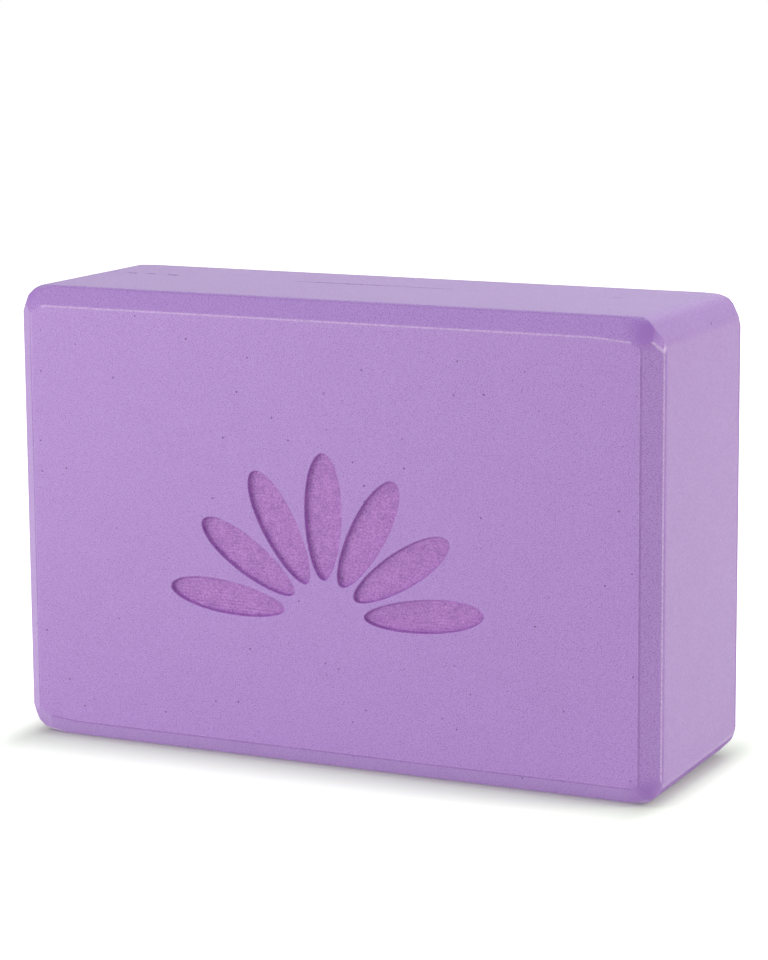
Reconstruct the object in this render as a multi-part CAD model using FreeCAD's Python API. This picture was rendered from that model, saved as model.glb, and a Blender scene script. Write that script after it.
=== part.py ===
import FreeCAD, Part
import os

# Foam yoga block, standing on one of its long narrow sides.
# It is cut from two foam slabs that are glued broad face to broad face, so the glue line runs round the
# narrow sides, nearer to the back than to the front. Every outer edge is chamfered and then eased by sanding.
# X runs along the block's length, Y from its front broad face to its back one, and Z up, in millimetres.
# The origin is the middle of the underside.

# Overall block
BLOCK_LENGTH = 228.6
BLOCK_THICKNESS = 76.2
BLOCK_HEIGHT = 152.4

# Outer edges: the leg of the 45 degree chamfer, and the radius that eases each edge of it
EDGE_CHAMFER = 6.35
EDGE_EASING = 1.2

# Glued joint: the front slab takes what these two leave of the thickness
REAR_SLAB_THICKNESS = 30.0
FILM_THICKNESS = 0.3
# How far the rim of the film stays back from the sanded outside
FILM_SETBACK = 0.5

# How far a cutting box reaches past the block
CUT_OVERRUN = 10.0

# Places across the thickness
FRONT_Y = -BLOCK_THICKNESS / 2
BACK_Y = BLOCK_THICKNESS / 2
FILM_BACK_Y = BACK_Y - REAR_SLAB_THICKNESS
FILM_FRONT_Y = FILM_BACK_Y - FILM_THICKNESS

ACROSS = FreeCAD.Vector(0, 1, 0)


def eased_blank():
    """The whole outside of the block: a box with its twelve edges chamfered, and each edge of that eased."""
    corner = FreeCAD.Vector(-BLOCK_LENGTH / 2, FRONT_Y, 0)
    box = Part.makeBox(BLOCK_LENGTH, BLOCK_THICKNESS, BLOCK_HEIGHT, corner)
    chamfered = box.makeChamfer(EDGE_CHAMFER, box.Edges)
    return chamfered.makeFillet(EDGE_EASING, chamfered.Edges).Solids[0]


def foam_slab(blank, from_y, to_y):
    """The length of the blank that lies between two planes across the thickness."""
    corner = FreeCAD.Vector(-BLOCK_LENGTH / 2 - CUT_OVERRUN, from_y, -CUT_OVERRUN)
    cutter = Part.makeBox(
        BLOCK_LENGTH + 2 * CUT_OVERRUN, to_y - from_y, BLOCK_HEIGHT + 2 * CUT_OVERRUN, corner
    )
    return blank.common(cutter).Solids[0]


def glue_film(blank):
    """The film between the slabs: the blank's own section at the joint, drawn in by the setback."""
    outline = blank.slice(ACROSS, FILM_FRONT_Y)[0]
    section = Part.Face(outline).makeOffset2D(-FILM_SETBACK)
    return section.extrude(ACROSS * FILM_THICKNESS).Solids[0]


def build():
    """Every piece of the block by its name."""
    blank = eased_blank()
    return {
        "front_foam_slab": foam_slab(blank, FRONT_Y - CUT_OVERRUN, FILM_FRONT_Y),
        "rear_foam_slab": foam_slab(blank, FILM_BACK_Y, BACK_Y + CUT_OVERRUN),
        "glue_film": glue_film(blank),
    }


os.makedirs("parts", exist_ok=True)
for name, piece in build().items():
    piece.exportStep(f"parts/{name}.step")
    print(f"{name}: {piece.Volume:.0f} mm3, {len(piece.Faces)} faces, valid {piece.isValid()}")
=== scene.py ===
"""Foam yoga block on a white studio floor.

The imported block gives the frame: its two foam slabs are dressed here as cut and sanded foam, with mitred
chamfers, eased edges and a pressed flower on the front, and the glue between them gets a finish of its own.
Everything is in metres, in the block's own frame: X along the length, Y from front to back, Z up.
"""

from __future__ import annotations

import logging
import math
from dataclasses import dataclass, field
from enum import Enum
from itertools import product

import bmesh
import bpy
from mathutils import Matrix, Vector, noise

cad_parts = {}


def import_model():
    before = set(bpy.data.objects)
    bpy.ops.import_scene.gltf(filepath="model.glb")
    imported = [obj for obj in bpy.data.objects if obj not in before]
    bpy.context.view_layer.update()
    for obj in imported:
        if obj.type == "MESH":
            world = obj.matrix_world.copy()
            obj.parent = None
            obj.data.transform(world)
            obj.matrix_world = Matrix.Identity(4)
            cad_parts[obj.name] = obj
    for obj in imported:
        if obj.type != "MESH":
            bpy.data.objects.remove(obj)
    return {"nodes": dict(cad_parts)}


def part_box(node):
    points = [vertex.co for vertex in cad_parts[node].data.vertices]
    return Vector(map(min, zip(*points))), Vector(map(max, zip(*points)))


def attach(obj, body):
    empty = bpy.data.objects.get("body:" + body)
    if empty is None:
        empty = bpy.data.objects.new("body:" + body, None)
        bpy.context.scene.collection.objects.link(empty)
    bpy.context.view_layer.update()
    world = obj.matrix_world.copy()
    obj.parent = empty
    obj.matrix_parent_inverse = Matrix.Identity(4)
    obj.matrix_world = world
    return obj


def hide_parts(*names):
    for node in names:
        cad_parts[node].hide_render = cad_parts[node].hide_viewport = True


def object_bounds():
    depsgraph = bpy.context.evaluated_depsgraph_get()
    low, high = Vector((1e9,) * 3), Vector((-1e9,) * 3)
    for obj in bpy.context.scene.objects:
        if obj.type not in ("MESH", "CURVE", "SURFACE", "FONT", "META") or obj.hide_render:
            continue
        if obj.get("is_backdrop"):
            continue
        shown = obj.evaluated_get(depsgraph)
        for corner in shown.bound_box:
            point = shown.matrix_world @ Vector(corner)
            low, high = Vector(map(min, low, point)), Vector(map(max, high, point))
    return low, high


log = logging.getLogger("yoga_block")

# Lengths that count as nothing when a plane cuts and when places are compared
CUT_TOLERANCE = 1e-7
PLACE_TOLERANCE = 1e-6
# How nearly a direction keeps to an axis, as the part of a unit direction that lies along it
ALONG = 0.99
FLAT_ON = 0.999
QUARTER_TURN = math.radians(90)
# The curve between a screen's colours and linear ones
SCREEN_STEPS = 255
SCREEN_LIFT = 0.055
SCREEN_POWER = 2.4

Colour = tuple[float, float, float]
Sizes = tuple[float, float, float]
Span = tuple[float, float]
Signs = tuple[int, int, int]

WHITE: Colour = (1.0, 1.0, 1.0)


class Slab(Enum):
    """The two foam slabs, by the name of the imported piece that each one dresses."""

    FRONT = "front_foam_slab"
    REAR = "rear_foam_slab"


class Skin(Enum):
    """The kinds of foam surface on a slab, in the order of its material slots."""

    BROAD = 0
    SIDE = 1
    # Sanded edges: glossier foam whose paler colour is a painted highlight
    EDGE = 2
    # Painted shade: darker, duller foam where a crease's shade would fall
    CREASE = 3
    PRESSED = 4
    # Painted shade: darker, duller foam on the chamfers near the floor
    FOOT_SHADE = 5


def srgb(red: int, green: int, blue: int) -> Colour:
    """Turn a colour as seen on a screen into the linear one that a shader takes.

    Args:
        red: Red from 0 to 255.
        green: Green from 0 to 255.
        blue: Blue from 0 to 255.

    Returns:
        The linear colour.
    """
    shares = (channel / SCREEN_STEPS for channel in (red, green, blue))
    return tuple(((share + SCREEN_LIFT) / (1 + SCREEN_LIFT)) ** SCREEN_POWER for share in shares)


def facing(azimuth_deg: float, elevation_deg: float) -> Vector:
    """Give the direction from the block towards a viewer or a lamp.

    Args:
        azimuth_deg: Turn round the block, from 0 at its front to 90 at its right end.
        elevation_deg: Height above the floor's level.

    Returns:
        The unit direction.
    """
    around = math.radians(azimuth_deg)
    above = math.radians(elevation_deg)
    level = math.cos(above)
    return Vector((math.sin(around) * level, -math.cos(around) * level, math.sin(above)))


class NodeSheet:
    """A node tree, with short ways to add nodes to it."""

    def __init__(self, tree: bpy.types.NodeTree) -> None:
        """Start with an emptied tree."""
        self.tree = tree
        self.tree.nodes.clear()

    def add(self, kind: str, **settings: object) -> bpy.types.Node:
        """Add a node.

        Args:
            kind: The node's type, without its ShaderNode prefix.
            settings: Properties of the node, such as its operation.

        Returns:
            The new node.
        """
        node = self.tree.nodes.new("ShaderNode" + kind)
        for key, value in settings.items():
            setattr(node, key, value)
        return node

    def feed(self, socket: bpy.types.NodeSocket, value: object) -> None:
        """Give an input its value, which is a number, a colour or another node's output."""
        if isinstance(value, bpy.types.NodeSocket):
            self.tree.links.new(value, socket)
        else:
            socket.default_value = (*value, 1.0) if socket.type == "RGBA" else value

    def math(self, operation: str, *values: object) -> bpy.types.NodeSocket:
        """Add a Math node.

        Args:
            operation: The node's operation.
            values: Its inputs, each a number or an output.

        Returns:
            The node's output.
        """
        node = self.add("Math", operation=operation)
        for socket, value in zip(node.inputs, values):
            self.feed(socket, value)
        return node.outputs[0]

    def vector(self, operation: str, *values: object) -> bpy.types.Node:
        """Add a Vector Math node.

        Args:
            operation: The node's operation.
            values: Its inputs, each a vector or an output.

        Returns:
            The node.
        """
        node = self.add("VectorMath", operation=operation)
        for socket, value in zip(node.inputs, values):
            self.feed(socket, value)
        return node

    def ease(self, value: bpy.types.NodeSocket, old: Span, new: Span,
             kind: str = "SMOOTHSTEP") -> bpy.types.NodeSocket:
        """Map a value from one range to another, held at both ends.

        Args:
            value: The value to map.
            old: Where its range starts and ends.
            new: What those two become.
            kind: The node's way from one to the other.

        Returns:
            The mapped value.
        """
        node = self.add("MapRange", interpolation_type=kind)
        self.feed(node.inputs["Value"], value)
        for name, number in zip(("From Min", "From Max", "To Min", "To Max"), (*old, *new)):
            node.inputs[name].default_value = number
        return node.outputs["Result"]

    def noise(self, where: bpy.types.NodeSocket, feature: float, detail: float,
              roughness: float) -> bpy.types.NodeSocket:
        """Add a noise of a real feature size.

        Args:
            where: The coordinates to read.
            feature: The size of one feature, in metres.
            detail: How many finer layers it has.
            roughness: How strong those layers are.

        Returns:
            The noise, from 0 to 1.
        """
        node = self.add("TexNoise")
        self.feed(node.inputs["Vector"], where)
        for name, number in (("Scale", 1 / feature), ("Detail", detail), ("Roughness", roughness)):
            node.inputs[name].default_value = number
        return node.outputs["Fac"]

    def blend(self, share: bpy.types.NodeSocket, first: object, second: object) -> bpy.types.NodeSocket:
        """Mix two colours.

        Args:
            share: How much of the second colour shows.
            first: A colour or an output.
            second: A colour or an output.

        Returns:
            The mixed colour.
        """
        node = self.add("Mix", data_type="RGBA")
        self.feed(node.inputs[0], share)
        first_socket, second_socket = (socket for socket in node.inputs if socket.type == "RGBA")
        self.feed(first_socket, first)
        self.feed(second_socket, second)
        return next(socket for socket in node.outputs if socket.type == "RGBA")

    def end(self, shader: bpy.types.NodeSocket, kind: str = "OutputMaterial") -> None:
        """Send a shader to the tree's output."""
        self.feed(self.add(kind).inputs["Surface"], shader)


def new_material(name: str) -> tuple[bpy.types.Material, NodeSheet]:
    """Start a material.

    Args:
        name: Its name.

    Returns:
        The material and its empty node sheet.
    """
    material = bpy.data.materials.new(name)
    material.use_nodes = True
    return material, NodeSheet(material.node_tree)


@dataclass(frozen=True)
class FoamFinish:
    """Closed-cell foam cut open: small cells of many tones, bubbles, open pits with painted shade in them,
    ribs, and painted shade at the corners.
    """

    name: str
    pale: Colour
    # Painted shade: the pits' dark colour stands in for the shade inside them
    deep: Colour
    shaded_pit: Colour
    cell_size: float
    mottle_size: float
    mottle_share: float
    pit_spacing: float
    pit_radius: float
    pit_share: float
    roughness: float
    gloss: float
    sheen: float
    relief: float
    roughness_spread: float = 0.06
    sheen_roughness: float = 0.5
    mottle_detail: float = 3.0
    mottle_roughness: float = 0.5
    mottle_span: Span = (0.3, 0.7)
    pit_least_share: float = 0.5
    pit_floor_share: float = 0.4
    pit_depth: float = 2.0
    bubble_size: float = 0.00042
    bubble_share: float = 0.0
    bubble_span: Span = (0.2, 0.8)
    bubble_turn_deg: float = 31.0
    rib_spacing: float = 0.0
    rib_share: float = 0.0
    rib_wander: float = 1.0
    # Painted shade: a darker colour blended in towards the block's corners
    corner_shade: Colour = (0.0, 0.0, 0.0)
    corner_shade_share: float = 0.0
    corner_shade_core_share: float = 0.5
    corner_shade_reach: Sizes = (0.015, 0.012, 0.012)
    corner_shade_middle: Sizes = (-0.002, 0.0, 0.0762)
    corner_shade_half: Sizes = (0.1163, 0.0381, 0.0762)

    def scatter(self, sheet: NodeSheet, where: bpy.types.NodeSocket, spacing: float) -> bpy.types.Node:
        """Scatter cells over the foam.

        Args:
            sheet: The material's nodes.
            where: The coordinates to read.
            spacing: How far the cells are apart.

        Returns:
            The node that gives each cell's lot as a colour and the distance from its middle.
        """
        cells = sheet.add("TexVoronoi", feature="F1")
        sheet.feed(cells.inputs["Vector"], where)
        cells.inputs["Scale"].default_value = 1 / spacing
        return cells

    def pits(self, sheet: NodeSheet, where: bpy.types.NodeSocket) -> bpy.types.NodeSocket:
        """Open a few of the larger cells.

        Args:
            sheet: The material's nodes.
            where: The coordinates to read.

        Returns:
            1 inside an open cell, falling to 0 at its rim.
        """
        cells = self.scatter(sheet, where, self.pit_spacing)
        lot = sheet.add("SeparateColor")
        sheet.feed(lot.inputs["Color"], cells.outputs["Color"])
        reach = self.pit_radius / self.pit_spacing
        radius = sheet.math("MULTIPLY_ADD", lot.outputs["Green"], reach, reach * self.pit_least_share)
        outward = sheet.math("DIVIDE", cells.outputs["Distance"], radius)
        depth = sheet.ease(outward, (self.pit_floor_share, 1.0), (1.0, 0.0))
        opened = sheet.math("LESS_THAN", lot.outputs["Red"], self.pit_share)
        return sheet.math("MULTIPLY", depth, opened)

    def shade_corners(self, sheet: NodeSheet, where: bpy.types.NodeSocket) -> bpy.types.NodeSocket:
        """Find where the block's corners get a painted shade, darker towards each corner.

        Args:
            sheet: The material's nodes.
            where: The coordinates to read.

        Returns:
            How much of the painted corner shade shows, falling to 0 away from a corner.
        """
        off_middle = sheet.vector("SUBTRACT", where, self.corner_shade_middle).outputs[0]
        across = sheet.vector("ABSOLUTE", off_middle).outputs[0]
        inward = sheet.vector("SUBTRACT", self.corner_shade_half, across).outputs[0]
        share = sheet.vector("DIVIDE", inward, self.corner_shade_reach).outputs[0]
        away = sheet.vector("LENGTH", share).outputs["Value"]
        return sheet.ease(away, (self.corner_shade_core_share, 1.0), (self.corner_shade_share, 0.0))

    def tone(self, sheet: NodeSheet, where: bpy.types.NodeSocket,
             lot: bpy.types.NodeSocket) -> bpy.types.NodeSocket:
        """Give each cell its tone, with faint mottling and the walls of small bubbles.

        Args:
            sheet: The material's nodes.
            where: The coordinates to read.
            lot: Each cell's own lot, from 0 to 1.

        Returns:
            How much of the deep colour shows.
        """
        clouds = sheet.noise(where, self.mottle_size, self.mottle_detail, self.mottle_roughness)
        mottle = sheet.ease(clouds, self.mottle_span, (0.0, self.mottle_share))
        cell_share = 1 - self.mottle_share - self.bubble_share
        tone = sheet.math("MULTIPLY_ADD", lot, cell_share, mottle)
        if not self.bubble_share:
            return tone
        flat = sheet.add("Mapping")
        sheet.feed(flat.inputs["Vector"], where)
        turn = math.radians(self.bubble_turn_deg)
        flat.inputs["Rotation"].default_value = (QUARTER_TURN, 0.0, turn)
        bubbles = self.scatter(sheet, flat.outputs["Vector"], self.bubble_size)
        bubbles.voronoi_dimensions = "2D"
        off_centre = bubbles.outputs["Distance"]
        walls = sheet.ease(off_centre, self.bubble_span, (0.0, self.bubble_share), "LINEAR")
        return sheet.math("ADD", tone, walls)

    def bumps(self, sheet: NodeSheet, where: bpy.types.NodeSocket, domes: bpy.types.NodeSocket,
              shaded_pit: bpy.types.NodeSocket) -> bpy.types.NodeSocket:
        """Shape the cells, the pits and the ribs.

        Args:
            sheet: The material's nodes.
            where: The coordinates to read.
            domes: The distance from each cell's middle.
            shaded_pit: 1 inside an open pit.

        Returns:
            The bumped normal.
        """
        height = sheet.math("MULTIPLY_ADD", shaded_pit, -self.pit_depth, domes)
        if self.rib_share:
            ribs = sheet.add("TexWave", wave_type="BANDS", bands_direction="Z")
            sheet.feed(ribs.inputs["Vector"], where)
            ribs.inputs["Scale"].default_value = 1 / self.rib_spacing
            ribs.inputs["Distortion"].default_value = self.rib_wander
            height = sheet.math("MULTIPLY_ADD", ribs.outputs["Fac"], self.rib_share, height)
        bump = sheet.add("Bump")
        bump.inputs["Strength"].default_value = 1.0
        bump.inputs["Distance"].default_value = self.relief
        sheet.feed(bump.inputs["Height"], height)
        return bump.outputs["Normal"]

    def build(self) -> bpy.types.Material:
        """Make the material.

        Returns:
            The finished material.
        """
        material, sheet = new_material(self.name)
        where = sheet.add("TexCoord").outputs["Object"]
        cells = self.scatter(sheet, where, self.cell_size)
        lot = sheet.add("SeparateColor")
        sheet.feed(lot.inputs["Color"], cells.outputs["Color"])
        shaded_pit = self.pits(sheet, where)
        colour = sheet.blend(self.tone(sheet, where, lot.outputs["Red"]), self.pale, self.deep)
        # Painted shade: darken the colour towards the corners
        if self.corner_shade_share:
            colour = sheet.blend(self.shade_corners(sheet, where), colour, self.corner_shade)
        rough_span = (self.roughness - self.roughness_spread, self.roughness + self.roughness_spread)
        shader = sheet.add("BsdfPrincipled")
        # Painted shade: open pits take the darker colour of the shade inside them
        sheet.feed(shader.inputs["Base Color"], sheet.blend(shaded_pit, colour, self.shaded_pit))
        sheet.feed(shader.inputs["Roughness"], sheet.ease(lot.outputs["Blue"], (0.0, 1.0), rough_span))
        sheet.feed(shader.inputs["Normal"], self.bumps(sheet, where, cells.outputs["Distance"], shaded_pit))
        shader.inputs["Specular IOR Level"].default_value = self.gloss
        shader.inputs["Sheen Weight"].default_value = self.sheen
        shader.inputs["Sheen Roughness"].default_value = self.sheen_roughness
        sheet.end(shader.outputs["BSDF"])
        return material


@dataclass(frozen=True)
class GlueFinish:
    """Dried contact glue, streaked where it was spread."""

    name: str
    film: Colour
    streak: Colour
    streak_size: float
    streak_detail: float = 3.0
    streak_roughness: float = 0.6
    streak_span: Span = (0.3, 0.7)
    roughness_span: Span = (0.35, 0.6)

    def build(self) -> bpy.types.Material:
        """Make the material.

        Returns:
            The finished material.
        """
        material, sheet = new_material(self.name)
        where = sheet.add("TexCoord").outputs["Object"]
        streaks = sheet.noise(where, self.streak_size, self.streak_detail, self.streak_roughness)
        shader = sheet.add("BsdfPrincipled")
        sheet.feed(shader.inputs["Base Color"], sheet.blend(streaks, self.film, self.streak))
        sheet.feed(shader.inputs["Roughness"], sheet.ease(streaks, self.streak_span, self.roughness_span))
        sheet.end(shader.outputs["BSDF"])
        return material


BROAD_FOAM = FoamFinish(
    name="broad_foam", pale=srgb(198, 154, 227), deep=srgb(152, 105, 189), shaded_pit=srgb(112, 72, 146),
    cell_size=0.00022, mottle_size=0.010, mottle_share=0.03,
    pit_spacing=0.0046, pit_radius=0.00036, pit_share=0.4,
    roughness=0.43, gloss=0.54, sheen=0.05, relief=0.00005, bubble_share=0.57,
    # Painted shade at the corners
    corner_shade=srgb(160, 108, 197), corner_shade_share=0.85,
)
SIDE_FOAM = FoamFinish(
    name="side_foam", pale=srgb(187, 144, 214), deep=srgb(165, 122, 196), shaded_pit=srgb(160, 119, 191),
    cell_size=0.00036, mottle_size=0.020, mottle_share=0.1,
    pit_spacing=0.0064, pit_radius=0.0003, pit_share=0.06,
    roughness=0.45, gloss=0.5, sheen=0.08, relief=0.00003,
)
# Glossier, smoother foam on the sanded edges; its paler colour is a painted highlight
EDGE_HIGHLIGHT_FOAM = FoamFinish(
    name="edge_highlight_foam", pale=srgb(204, 167, 225), deep=srgb(195, 157, 218), shaded_pit=srgb(184, 146, 208),
    cell_size=0.00045, mottle_size=0.010, mottle_share=0.25,
    pit_spacing=0.006, pit_radius=0.0003, pit_share=0.2,
    roughness=0.28, gloss=1.0, sheen=0.05, relief=0.00002,
)
# Painted shade: darker, duller foam laid along creases and beside edges
CREASE_SHADE_FOAM = FoamFinish(
    name="crease_shade_foam", pale=srgb(183, 139, 214), deep=srgb(159, 115, 191), shaded_pit=srgb(148, 104, 180),
    cell_size=0.00036, mottle_size=0.010, mottle_share=0.25,
    pit_spacing=0.006, pit_radius=0.0003, pit_share=0.2,
    roughness=0.55, gloss=0.28, sheen=0.0, relief=0.00003,
)
# Painted shade: the chamfers under the block's ends are darker and duller, as in the floor's shade
FOOT_SHADE_FOAM = FoamFinish(
    name="foot_shade_foam", pale=srgb(172, 129, 203), deep=srgb(160, 116, 191), shaded_pit=srgb(148, 105, 180),
    cell_size=0.00045, mottle_size=0.010, mottle_share=0.25,
    pit_spacing=0.006, pit_radius=0.0003, pit_share=0.2,
    roughness=0.65, gloss=0.15, sheen=0.0, relief=0.00003,
)
PRESSED_FOAM = FoamFinish(
    name="pressed_foam", pale=srgb(198, 131, 216), deep=srgb(144, 82, 174), shaded_pit=srgb(110, 58, 138),
    cell_size=0.00034, mottle_size=0.004, mottle_share=0.2,
    pit_spacing=0.0012, pit_radius=0.00022, pit_share=0.5,
    roughness=0.38, gloss=0.6, sheen=0.05, relief=0.00009, rib_spacing=0.0034, rib_share=0.9,
)
GLUE = GlueFinish(
    name="dried_glue", film=srgb(150, 116, 178), streak=srgb(132, 98, 162), streak_size=0.003,
)


@dataclass
class PressedFlower:
    """A flower of separate petals, pressed into the front face with a hot die."""

    depth: float = 0.0015
    draft: float = 0.00035
    lip: float = 0.0004
    rim_round: float = 0.0003
    root_round: float = 0.0003
    round_segments: int = 4
    outline_points: int = 72
    root_drop: float = 0.026
    belly_share: float = 0.1
    petal_angles_deg: tuple[float, ...] = (0.0, 29.0, 57.0, 84.0)
    petal_roots: tuple[float, ...] = (0.012, 0.012, 0.0125, 0.014)
    petal_tips: tuple[float, ...] = (0.054, 0.053, 0.053, 0.057)
    petal_half_widths: tuple[float, ...] = (0.0070, 0.0067, 0.0063, 0.0058)

    def petals(self) -> list[tuple[float, float, float, float]]:
        """List the petals.

        Returns:
            Each petal's lean in radians, root, tip and half width.
        """
        rows = zip(self.petal_angles_deg, self.petal_roots, self.petal_tips, self.petal_half_widths)
        found = []
        for angle, *sizes in rows:
            for side in (1, -1) if angle else (1,):
                found.append((side * math.radians(angle), *sizes))
        return found

    def swell(self, along: float) -> float:
        """Give a petal's width at a place along it, as a share of its full width."""
        return 2 * math.sqrt(along * (1 - along)) * (1 + self.belly_share * (2 * along - 1))

    def outline(self, mesh: bmesh.types.BMesh, petal: tuple[float, float, float, float],
                centre: Vector) -> bmesh.types.BMFace:
        """Add one petal's outline to the front plane.

        Args:
            mesh: The mesh to add it to.
            petal: The petal's lean, root, tip and half width.
            centre: The flower's middle.

        Returns:
            The petal's face.
        """
        lean, root, tip, half_width = petal
        circle = bmesh.ops.create_circle(mesh, cap_ends=True, radius=1.0, segments=self.outline_points)
        ring = circle["verts"]
        for vertex in ring:
            along = min(1.0, max(0.0, (1 - vertex.co.x) / 2))
            reach = root + (tip - root) * along
            across = math.copysign(half_width * self.swell(along), vertex.co.y)
            x = reach * math.sin(lean) + across * math.cos(lean)
            z = reach * math.cos(lean) - across * math.sin(lean)
            vertex.co = centre + Vector((x, 0.0, z - self.root_drop))
        return ring[0].link_faces[0]

    def press(self, mesh: bmesh.types.BMesh, floor: bmesh.types.BMFace) -> None:
        """Press a petal's face into the foam, with a wall that rolls off at the top and the bottom.

        Args:
            mesh: The slab's mesh.
            floor: The petal's face in the front plane.
        """
        lip = bmesh.ops.inset_region(mesh, faces=[floor], thickness=self.lip, use_even_offset=True)["faces"]
        for face in lip:
            face.material_index = Skin.BROAD.value
        rim = list(floor.edges)
        walls = bmesh.ops.inset_region(mesh, faces=[floor], thickness=self.draft, depth=-self.depth,
                                       use_even_offset=True)["faces"]
        for face in (*walls, floor):
            face.material_index = Skin.PRESSED.value
        for edges, size in ((list(floor.edges), self.root_round), (rim, self.rim_round)):
            bmesh.ops.bevel(mesh, geom=edges, offset=size, offset_type="OFFSET", affect="EDGES",
                            segments=self.round_segments, profile=0.5, material=-1, clamp_overlap=True)


@dataclass
class GlueLine:
    """What still shows of the glue line on the block's top: a hairline and a few sunken nicks."""

    strip: float = 0.0045
    columns: int = 430
    rows: int = 4
    ragged_size: float = 0.0011
    ragged_mean: float = 0.7
    ragged_swing: float = 0.6
    fade_power: int = 2
    end_power: int = 4
    nick_places: tuple[float, ...] = (-0.102, -0.096, -0.0885, -0.080, -0.016, 0.012, 0.082)
    nick_half_lengths: tuple[float, ...] = (0.0014, 0.0020, 0.0018, 0.0026, 0.0190, 0.0140, 0.0016)
    nick_depths: tuple[float, ...] = (0.00014, 0.00018, 0.00016, 0.00020, 0.00012, 0.00007, 0.00008)

    def sink(self, x: float, off_line: float) -> float:
        """Give how far the foam has sunk at a place.

        Args:
            x: The place along the block.
            off_line: How far it is from the glue line.

        Returns:
            The depth there.
        """
        fade = max(0.0, 1 - off_line / self.strip) ** self.fade_power
        depth = 0.0
        for place, half_length, most in zip(self.nick_places, self.nick_half_lengths, self.nick_depths):
            along = min(1.0, abs(x - place) / half_length)
            spot = Vector((x, place, 0.0)) / self.ragged_size
            ragged = self.ragged_mean + self.ragged_swing * noise.noise(spot)
            depth += most * ragged * (1 - along ** self.end_power)
        return depth * fade

    def wear(self, mesh: bmesh.types.BMesh, seam: float, top: float) -> None:
        """Sink the top of the front slab along the glue line.

        Args:
            mesh: The front slab's mesh.
            seam: Where the glue line is, along Y.
            top: The height of the top.
        """
        roof = max(mesh.faces, key=lambda face: (face.normal.z > FLAT_ON) * face.calc_area())
        parts = [roof, *roof.edges, *roof.verts]
        bmesh.ops.bisect_plane(mesh, geom=parts, dist=CUT_TOLERANCE, plane_no=(0.0, 1.0, 0.0),
                               plane_co=(0.0, seam - self.strip, top))
        mesh.normal_update()
        band = [face for face in mesh.faces
                if face.normal.z > FLAT_ON and face.calc_center_median().y > seam - self.strip]
        strip = max(band, key=lambda face: face.calc_area())
        long_edges = sorted(strip.edges, key=lambda edge: edge.calc_length())[-2:]
        cut = bmesh.ops.subdivide_edges(mesh, edges=long_edges, cuts=self.columns, use_grid_fill=True)
        across = [edge for edge in cut["geom_inner"] if isinstance(edge, bmesh.types.BMEdge)
                  and abs(edge.verts[0].co.x - edge.verts[1].co.x) < PLACE_TOLERANCE]
        bmesh.ops.subdivide_edges(mesh, edges=across, cuts=self.rows, use_grid_fill=True)
        for vertex in mesh.verts:
            off_line = seam - vertex.co.y
            if vertex.co.z > top - PLACE_TOLERANCE and off_line < self.strip:
                vertex.co.z -= self.sink(vertex.co.x, off_line)


@dataclass(frozen=True)
class Chamfer:
    """A chamfer's legs at the low end of its edge, in the axes' order, and its growth to the other end."""

    first_leg: float
    second_leg: float
    growth: float = 1.0


@dataclass(frozen=True)
class Easing:
    """How an edge is sanded round: its radius and skin, the skin of its far part, and the roll before it."""

    radius: float
    skin: Skin
    far_skin: Skin = Skin.BROAD
    far_share: float = 0.0
    roll_width: float = 0.0
    roll_share: float = 0.0
    roll_skin: Skin = Skin.BROAD


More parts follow.
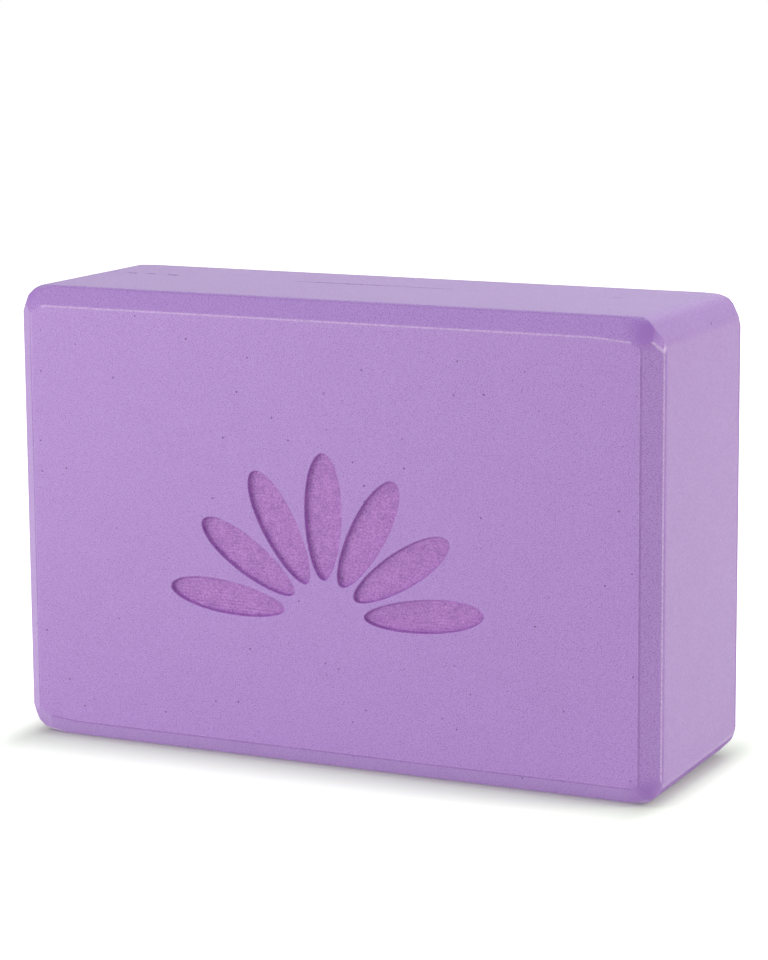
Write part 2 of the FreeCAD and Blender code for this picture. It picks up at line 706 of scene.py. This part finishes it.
@dataclass
class FoamBlock:
    """The block's two foam slabs, cut from one blank whose edges are chamfered and eased."""

    low: Vector
    high: Vector
    film_low: Vector
    film_high: Vector
    # Chamfers: the leg on each axis, and the chamfers that are worn
    legs: Sizes = (0.0060, 0.0052, 0.0062)
    worn_chamfers: dict[Signs, Chamfer] = field(default_factory=lambda: {
        (1, 0, -1): Chamfer(0.0048, 0.0048, 1.54),
        (1, 0, 1): Chamfer(0.0058, 0.0080, 0.88),
    })
    # Corners: how far a dip runs and drops, and the facets with their blunted ends
    corner_dips: dict[Signs, tuple[float, float]] = field(default_factory=lambda: {
        (1, -1, 1): (0.018, 0.0014),
        (-1, -1, -1): (0.014, 0.0013),
        (-1, -1, 1): (0.007, 0.0008),
    })
    facet_facing_deg: Span = (19.0, 29.5)
    facet_place: Sizes = (0.0055, 0.0050, 0.0008)
    facet_lifts: dict[Signs, float] = field(default_factory=lambda: {
        (1, -1, -1): 0.0009,
        (-1, -1, -1): -0.0003,
    })
    facet_slant: float = 0.15
    shoulder_slant: float = 0.6
    blunt_depth: float = 0.0010
    blunt_share: float = 0.5
    # Sanding of each kind of edge
    soft_edge: Easing = Easing(0.0080, Skin.BROAD)
    # The edge skin's paler colour is a painted highlight, and the crease skin's darker colour a painted
    # shade
    rim: Easing = Easing(0.0022, Skin.EDGE, Skin.CREASE, 0.65, roll_width=0.0018, roll_share=0.06)
    top_rim: Easing = Easing(0.0028, Skin.EDGE, Skin.BROAD, 0.35, roll_width=0.0018, roll_share=0.06)
    depth_edge: Easing = Easing(0.0070, Skin.SIDE)
    # The foot edge's lower part takes the foot skin, a painted shade
    foot_edge: Easing = Easing(0.0070, Skin.SIDE, Skin.FOOT_SHADE, 0.5)
    # The end edge's roll takes the crease skin, a painted shade beside the painted highlight
    end_edge: Easing = Easing(0.0014, Skin.EDGE, roll_width=0.0016, roll_share=0.08,
                              roll_skin=Skin.CREASE)
    long_edge: Easing = Easing(0.0020, Skin.BROAD, Skin.CREASE, 0.25)
    facet_edge: Easing = Easing(0.0016, Skin.BROAD)
    facet_rim: Easing = Easing(0.0030, Skin.EDGE)
    facet_side: Easing = Easing(0.0040, Skin.BROAD)
    mitre: Easing = Easing(0.0014, Skin.EDGE)
    soft_angle_deg: float = 25.0
    stroke_deg: float = 7.5
    # Smooth shading and what else is on the slabs
    normal_weight: int = 100
    flower: PressedFlower = field(default_factory=PressedFlower)
    glue_line: GlueLine = field(default_factory=GlueLine)
    finishes: tuple[FoamFinish, ...] = (
        BROAD_FOAM, SIDE_FOAM, EDGE_HIGHLIGHT_FOAM, CREASE_SHADE_FOAM, PRESSED_FOAM, FOOT_SHADE_FOAM,
    )

    def shave(self, mesh: bmesh.types.BMesh, point: Vector, outward: Vector,
              skin: Skin) -> list[bmesh.types.BMFace]:
        """Cut away what lies beyond a plane and close the cut.

        Args:
            mesh: The mesh to cut.
            point: A point on the plane.
            outward: The way the removed side faces.
            skin: The skin of the cut.

        Returns:
            The faces that close the cut.
        """
        everything = [*mesh.verts, *mesh.edges, *mesh.faces]
        cut = bmesh.ops.bisect_plane(mesh, geom=everything, dist=CUT_TOLERANCE, plane_co=point,
                                     plane_no=outward, clear_outer=True)
        rim = [part for part in cut["geom_cut"] if isinstance(part, bmesh.types.BMEdge)]
        faces = bmesh.ops.edgeloop_fill(mesh, edges=rim)["faces"]
        for face in faces:
            face.material_index = skin.value
        return faces

    def corner(self, signs: Vector) -> Vector:
        """Give the corner of the block's box that lies that way from its middle."""
        half = (self.high - self.low) / 2
        return (self.low + self.high) / 2 + Vector(sign * size for sign, size in zip(signs, half))

    def chamfer_plane(self, signs: Signs) -> tuple[Vector, Vector]:
        """Find the plane of one chamfer.

        Args:
            signs: Which way the edge lies from the middle on each axis, with 0 on the axis along it.

        Returns:
            A point on the plane and the way it faces.
        """
        run = signs.index(0)
        first, second = (axis for axis in range(3) if axis != run)
        chamfer = self.worn_chamfers.get(signs, Chamfer(self.legs[first], self.legs[second]))
        on_first, far = (self.corner(Vector(sign or end for sign in signs)) for end in (-1, 1))
        on_second = on_first.copy()
        on_first[first] -= signs[first] * chamfer.first_leg
        on_second[second] -= signs[second] * chamfer.second_leg
        far[first] -= signs[first] * chamfer.first_leg * chamfer.growth
        outward = (far - on_first).cross(on_second - on_first).normalized()
        return on_first, outward if outward.dot(Vector(signs)) > 0 else -outward

    def dip_plane(self, signs: Signs, run: float, drop: float) -> tuple[Vector, Vector]:
        """Find the plane that wears a chamfer down towards one corner of a broad face.

        Args:
            signs: Which way the corner lies from the middle on each axis.
            run: How far from the corner the wear starts.
            drop: How far the broad face's edge has dropped at the corner.

        Returns:
            A point on the plane and the way it faces.
        """
        side_x, side_y, side_z = signs
        leg_x, leg_y, leg_z = self.legs
        tip = self.corner(Vector(signs))
        tip.x -= side_x * leg_x
        start = tip - Vector((side_x * run, 0.0, side_z * leg_z))
        worn = tip - Vector((0.0, 0.0, side_z * (leg_z + drop)))
        shoulder = tip - Vector((0.0, side_y * leg_y, 0.0))
        outward = (start - shoulder).cross(worn - shoulder).normalized()
        return shoulder, outward if outward.dot(Vector(signs)) > 0 else -outward

    def facet_plane(self, signs: Signs) -> tuple[Vector, Vector]:
        """Find the plane of the small facet that finishes a corner.

        Args:
            signs: Which way the corner lies from the middle on each axis.

        Returns:
            A point on the plane and the way it faces.
        """
        turned = facing(*self.facet_facing_deg)
        outward = Vector(sign * abs(part) for sign, part in zip(signs, turned))
        inset = Vector(sign * size for sign, size in zip(signs, self.facet_place))
        point = self.corner(Vector(signs)) - inset
        return point + self.facet_lifts.get(signs, 0.0) * outward, outward

    def blunt(self, mesh: bmesh.types.BMesh, outward: Vector) -> None:
        """Take off the point of the blank that reaches furthest one way.

        Args:
            mesh: The blank's mesh.
            outward: The way, as a unit direction.
        """
        furthest = max(vertex.co.dot(outward) for vertex in mesh.verts)
        self.shave(mesh, outward * (furthest - self.blunt_depth), outward, Skin.BROAD)

    def chamfered(self) -> bmesh.types.BMesh:
        """Make the blank with flat chamfers, worn and faceted at its corners.

        Returns:
            The blank's mesh, with its skins set.
        """
        stretched = Matrix.Diagonal((*(self.high - self.low), 1.0))
        placed = Matrix.Translation((self.low + self.high) / 2) @ stretched
        mesh = bmesh.new()
        bmesh.ops.create_cube(mesh, size=1.0, matrix=placed)
        for face in mesh.faces:
            face.material_index = (Skin.BROAD if abs(face.normal.y) > ALONG else Skin.SIDE).value
        for signs in product((-1, 0, 1), repeat=3):
            if signs.count(0) == 1:
                # Chamfers under the ends get the foot skin, a painted shade from the floor beside them
                skin = Skin.BROAD if signs[1] else Skin.FOOT_SHADE if signs[2] < 0 else Skin.SIDE
                self.shave(mesh, *self.chamfer_plane(signs), skin)
        for signs, dip in self.corner_dips.items():
            self.shave(mesh, *self.dip_plane(signs, *dip), Skin.BROAD)
        for signs in product((1, -1), repeat=3):
            point, outward = self.facet_plane(signs)
            self.shave(mesh, point, outward, Skin.BROAD)
            for toward in (Vector((signs[0], 0.0, 0.0)), Vector((0.0, 0.0, signs[2]))):
                self.blunt(mesh, outward.slerp(toward, self.blunt_share))
        bmesh.ops.recalc_face_normals(mesh, faces=mesh.faces)
        return mesh

    def facet_easing(self, edge: bmesh.types.BMEdge, plain: list[bmesh.types.BMFace]) -> Easing:
        """Choose how an edge of a corner's facet is sanded.

        Args:
            edge: An edge with a facet on one side or on both.
            plain: The face beside the facet, or nothing where there are two facets.

        Returns:
            The edge's easing.
        """
        if not plain or abs(plain[0].normal.x) < self.facet_slant:
            return self.facet_side
        upright = abs(plain[0].normal.z) < 1 - ALONG
        risen = edge.verts[0].co.z > (self.low.z + self.high.z) / 2
        turned = min(face.normal.x for face in edge.link_faces) > self.shoulder_slant
        return self.facet_rim if upright and risen and turned else self.facet_edge

    def easing(self, edge: bmesh.types.BMEdge) -> Easing:
        """Choose how an edge is sanded.

        Args:
            edge: An edge of the chamfered blank.

        Returns:
            The edge's easing.
        """
        run = (edge.verts[1].co - edge.verts[0].co).normalized()
        skins = [Skin(face.material_index) for face in edge.link_faces]
        plain = [face for face in edge.link_faces
                 if min(abs(part) for part in face.normal) < self.facet_slant]
        if len(plain) < len(edge.link_faces):
            return self.facet_easing(edge, plain)
        if edge.calc_face_angle() < math.radians(self.soft_angle_deg):
            return self.soft_edge
        if any(abs(face.normal.y) > ALONG for face in edge.link_faces):
            rising = max(face.normal.z for face in edge.link_faces)
            return self.top_rim if rising > 1 - ALONG else self.rim
        if abs(run.y) > ALONG:
            return self.foot_edge if Skin.FOOT_SHADE in skins else self.depth_edge
        if abs(run.z) > ALONG:
            return self.end_edge
        if abs(run.x) > ALONG:
            return self.long_edge
        return self.mitre

    def easing_cuts(self, mesh: bmesh.types.BMesh) -> list[tuple[Vector, Vector, Skin]]:
        """Plan the strokes that sand every edge of the chamfered blank round.

        Args:
            mesh: The chamfered blank.

        Returns:
            A point, the way it faces and the skin for each stroke's plane.
        """
        cuts = []
        for edge in mesh.edges:
            easing = self.easing(edge)
            place = edge.verts[0].co.copy()
            squarest = sorted(edge.link_faces, key=lambda face: -max(abs(part) for part in face.normal))
            flat, slant = squarest
            first, second = flat.normal.copy(), slant.normal.copy()
            centre = place - easing.radius * (first + second) / (1 + first.dot(second))
            if easing.roll_width:
                inward = (edge.verts[1].co - place).cross(first).normalized()
                if inward.dot(flat.calc_center_median() - place) < 0:
                    inward.negate()
                tilted = first.slerp(second, easing.roll_share)
                cuts.append((place + easing.roll_width * inward, tilted, easing.roll_skin))
            strokes = math.ceil(math.degrees(edge.calc_face_angle()) / self.stroke_deg)
            for stroke in range(1, strokes):
                outward = first.slerp(second, stroke / strokes)
                far = stroke / strokes > 1 - easing.far_share
                skin = easing.far_skin if far else easing.skin
                cuts.append((centre + easing.radius * outward, outward, skin))
        return cuts

    def eased(self) -> bmesh.types.BMesh:
        """Ease every edge of the chamfered blank.

        Returns:
            The eased mesh, with its skins set.
        """
        mesh = self.chamfered()
        for cut in self.easing_cuts(mesh):
            self.shave(mesh, *cut)
        bmesh.ops.recalc_face_normals(mesh, faces=mesh.faces)
        return mesh

    def slab(self, which: Slab) -> bpy.types.Object:
        """Make one slab.

        Args:
            which: The slab to make.

        Returns:
            Its object, with no finish yet.
        """
        mesh = self.eased()
        seam = (self.film_low.y + self.film_high.y) / 2
        side = 1 if which is Slab.FRONT else -1
        joint_way = Vector((0.0, side, 0.0))
        joint_face = self.shave(mesh, Vector((0.0, seam, 0.0)), joint_way, Skin.SIDE)
        for face in joint_face:
            for edge in face.edges:
                edge.smooth = False
        bmesh.ops.recalc_face_normals(mesh, faces=mesh.faces)
        bmesh.ops.inset_region(mesh, faces=joint_face, thickness=self.high.x - self.film_high.x,
                               depth=(self.film_low.y - self.film_high.y) / 2, use_even_offset=True)
        if which is Slab.FRONT:
            self.glue_line.wear(mesh, seam, self.high.z)
            self.press_flower(mesh)
        for face in mesh.faces:
            face.smooth = True
        bmesh.ops.recalc_face_normals(mesh, faces=mesh.faces)
        data = bpy.data.meshes.new(which.name.lower() + "_slab")
        mesh.to_mesh(data)
        mesh.free()
        piece = bpy.data.objects.new(data.name, data)
        bpy.context.scene.collection.objects.link(piece)
        return piece

    def press_flower(self, mesh: bmesh.types.BMesh) -> None:
        """Press the flower into the front face.

        Args:
            mesh: The front slab's mesh.
        """
        front = max(mesh.faces, key=lambda face: (face.normal.y < -FLAT_ON) * face.calc_area())
        centre = Vector((0.0, self.low.y, (self.low.z + self.high.z) / 2))
        rim = list(front.edges)
        bmesh.ops.delete(mesh, geom=[front], context="FACES_ONLY")
        petals = [self.flower.outline(mesh, petal, centre) for petal in self.flower.petals()]
        for petal in petals:
            rim.extend(petal.edges)
        filled = bmesh.ops.triangle_fill(mesh, use_beauty=True, use_dissolve=False, edges=rim,
                                         normal=(0.0, -1.0, 0.0))["geom"]
        for part in filled:
            if isinstance(part, bmesh.types.BMFace):
                part.material_index = Skin.BROAD.value
        bmesh.ops.recalc_face_normals(mesh, faces=mesh.faces)
        for petal in petals:
            self.flower.press(mesh, petal)

    def dress(self, piece: bpy.types.Object, which: Slab) -> None:
        """Finish a slab and set it in the frame.

        Args:
            piece: The slab's object.
            which: The slab that it is.
        """
        for finish in self.finishes:
            piece.data.materials.append(bpy.data.materials.get(finish.name) or finish.build())
        normals = piece.modifiers.new("flat_faces", "WEIGHTED_NORMAL")
        normals.keep_sharp = True
        normals.weight = self.normal_weight
        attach(piece, "root")
        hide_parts(which.value)


@dataclass(frozen=True)
class Softbox:
    """A studio light behind a white cloth, aimed at the block."""

    name: str
    azimuth_deg: float
    elevation_deg: float
    distance: float
    width: float
    height: float
    watts: float
    colour: Colour = WHITE

    def build(self, target: Vector) -> None:
        """Hang the light.

        Args:
            target: What it points at.
        """
        lamp = bpy.data.lights.new(self.name, "AREA")
        lamp.shape = "RECTANGLE"
        lamp.size = self.width
        lamp.size_y = self.height
        lamp.energy = self.watts
        lamp.color = self.colour
        back = facing(self.azimuth_deg, self.elevation_deg)
        light = bpy.data.objects.new(self.name, lamp)
        light.location = target + back * self.distance
        light.rotation_mode = "QUATERNION"
        light.rotation_quaternion = (-back).to_track_quat("-Z", "Y")
        bpy.context.scene.collection.objects.link(light)


@dataclass
class Studio:
    """White floor and background, soft lights, and the camera at the photograph's angle."""

    ambient: float = 0.25
    floor_size: float = 12.0
    floor_colour: Colour = (0.86, 0.95, 0.76)
    # Painted shadow: the floor's glow fades to near_glow at the block's foot, out to shadow_reach
    near_glow: float = 0.05
    contact_inset: float = 0.006
    shadow_reach: Span = (0.022, 0.050)
    eye: Sizes = (0.46769, -0.93467, 0.27746)
    azimuth_deg: float = 26.440
    elevation_deg: float = 10.221
    roll_deg: float = -0.415
    lens_mm: float = 121.10
    # Each light's azimuth, elevation, distance, width, height, watts and tint
    lights: tuple[Softbox, ...] = (
        Softbox("key_softbox", -40.0, 0.6, 1.1, 0.9, 0.14, 4.7),
        Softbox("fill_softbox", 40.0, 8.0, 1.2, 0.8, 0.4, 1.5),
        Softbox("right_softbox", 105.0, 21.0, 1.1, 0.4, 0.4, 3.75, (1.0, 0.98, 0.97)),
        Softbox("top_softbox", 0.0, 84.0, 1.1, 0.6, 0.6, 2.3, (0.82, 0.89, 1.0)),
        Softbox("back_softbox", 172.0, 46.0, 1.1, 0.6, 0.6, 1.9, (0.86, 0.91, 1.0)),
        Softbox("rear_glow", 206.0, 14.0, 1.3, 0.8, 0.3, 0.28, (0.82, 0.89, 1.0)),
        Softbox("edge_light", -48.0, 45.0, 1.22, 0.3, 0.3, 1.4),
    )

    def ray_kinds(self, sheet: NodeSheet) -> tuple[bpy.types.NodeSocket, bpy.types.NodeSocket]:
        """Tell the rays that see the background from those that carry its light.

        Args:
            sheet: The node tree to add to.

        Returns:
            1 for camera rays, and 1 for rays that are mirrored or let through.
        """
        path = sheet.add("LightPath")
        through = path.outputs["Is Transmission Ray"]
        mirrored = sheet.math("MAXIMUM", path.outputs["Is Glossy Ray"], through)
        return path.outputs["Is Camera Ray"], mirrored

    def build_world(self) -> None:
        """Make the background white to look at and grey as a light."""
        world = bpy.data.worlds.new("studio_air")
        world.use_nodes = True
        sheet = NodeSheet(world.node_tree)
        air = sheet.add("Background")
        seen = sheet.math("MAXIMUM", *self.ray_kinds(sheet))
        sheet.feed(air.inputs["Strength"], sheet.ease(seen, (0.0, 1.0), (self.ambient, 1.0)))
        sheet.feed(air.inputs["Color"], WHITE)
        sheet.end(air.outputs["Background"], "OutputWorld")
        bpy.context.scene.world = world

    def build_floor(self, low: Vector, high: Vector) -> None:
        """Lay the floor, which looks white but for the shadow round the block's foot, a real shadow deepened
        by a painted one.

        Args:
            low: The block's lowest corner.
            high: The block's highest corner.
        """
        mesh = bmesh.new()
        bmesh.ops.create_grid(mesh, x_segments=1, y_segments=1, size=self.floor_size / 2)
        bmesh.ops.translate(mesh, verts=mesh.verts, vec=(0.0, 0.0, low.z))
        data = bpy.data.meshes.new("floor")
        mesh.to_mesh(data)
        mesh.free()
        floor = bpy.data.objects.new("floor", data)
        bpy.context.scene.collection.objects.link(floor)
        material, sheet = new_material("white_floor")
        foot = [(far - near) / 2 - self.contact_inset for near, far in zip(low, high)]
        across = sheet.vector("ABSOLUTE", sheet.add("TexCoord").outputs["Object"]).outputs[0]
        off_foot = sheet.vector("SUBTRACT", across, foot).outputs[0]
        beyond = sheet.vector("MAXIMUM", off_foot, (0.0, 0.0, 0.0)).outputs[0]
        share = sheet.vector("DIVIDE", beyond, (*self.shadow_reach, 1.0)).outputs[0]
        away = sheet.vector("LENGTH", share).outputs["Value"]
        # Painted shadow: the glow fades towards the block's foot, so the floor shows darker there
        glow = sheet.ease(away, (0.0, 1.0), (self.near_glow, 1.0), "LINEAR")
        direct, mirrored = self.ray_kinds(sheet)
        shine = sheet.add("Emission")
        sheet.feed(shine.inputs["Strength"], sheet.math("MULTIPLY_ADD", glow, direct, mirrored))
        paint = sheet.add("BsdfDiffuse")
        sheet.feed(paint.inputs["Color"], self.floor_colour)
        both = sheet.add("AddShader")
        sheet.feed(both.inputs[0], paint.outputs["BSDF"])
        sheet.feed(both.inputs[1], shine.outputs["Emission"])
        sheet.end(both.outputs["Shader"])
        data.materials.append(material)
        floor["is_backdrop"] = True

    def build_camera(self) -> None:
        """Place the camera."""
        roll = math.radians(self.roll_deg)
        back = facing(self.azimuth_deg, self.elevation_deg)
        level = Vector((0.0, 0.0, 1.0)).cross(back).normalized()
        upright = back.cross(level)
        right = level * math.cos(roll) + upright * math.sin(roll)
        turned = Matrix((right, back.cross(right), back)).transposed()
        data = bpy.data.cameras.new("camera")
        data.lens = self.lens_mm
        camera = bpy.data.objects.new("camera", data)
        camera.matrix_world = Matrix.Translation(self.eye) @ turned.to_4x4()
        bpy.context.scene.collection.objects.link(camera)
        bpy.context.scene.camera = camera

    def build(self, low: Vector, high: Vector) -> None:
        """Set up everything round the block.

        Args:
            low: The block's lowest corner.
            high: The block's highest corner.
        """
        self.build_world()
        self.build_floor(low, high)
        for softbox in self.lights:
            softbox.build((low + high) / 2)
        self.build_camera()
        bpy.context.scene.view_settings.view_transform = "Standard"


def main() -> None:
    """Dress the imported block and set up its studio."""
    logging.basicConfig(level=logging.INFO, format="%(name)s: %(message)s")
    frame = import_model()
    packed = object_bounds()
    block = FoamBlock(*packed, *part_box("glue_film"))
    for which in Slab:
        piece = block.slab(which)
        block.dress(piece, which)
        log.info("%s: %d faces", piece.name, len(piece.data.polygons))
    film = frame["nodes"]["glue_film"]
    film.data.materials.clear()
    film.data.materials.append(GLUE.build())
    log.info("glue_film: packed piece with the finish %s", GLUE.name)
    Studio().build(*packed)


if __name__ == "__main__":
    main()
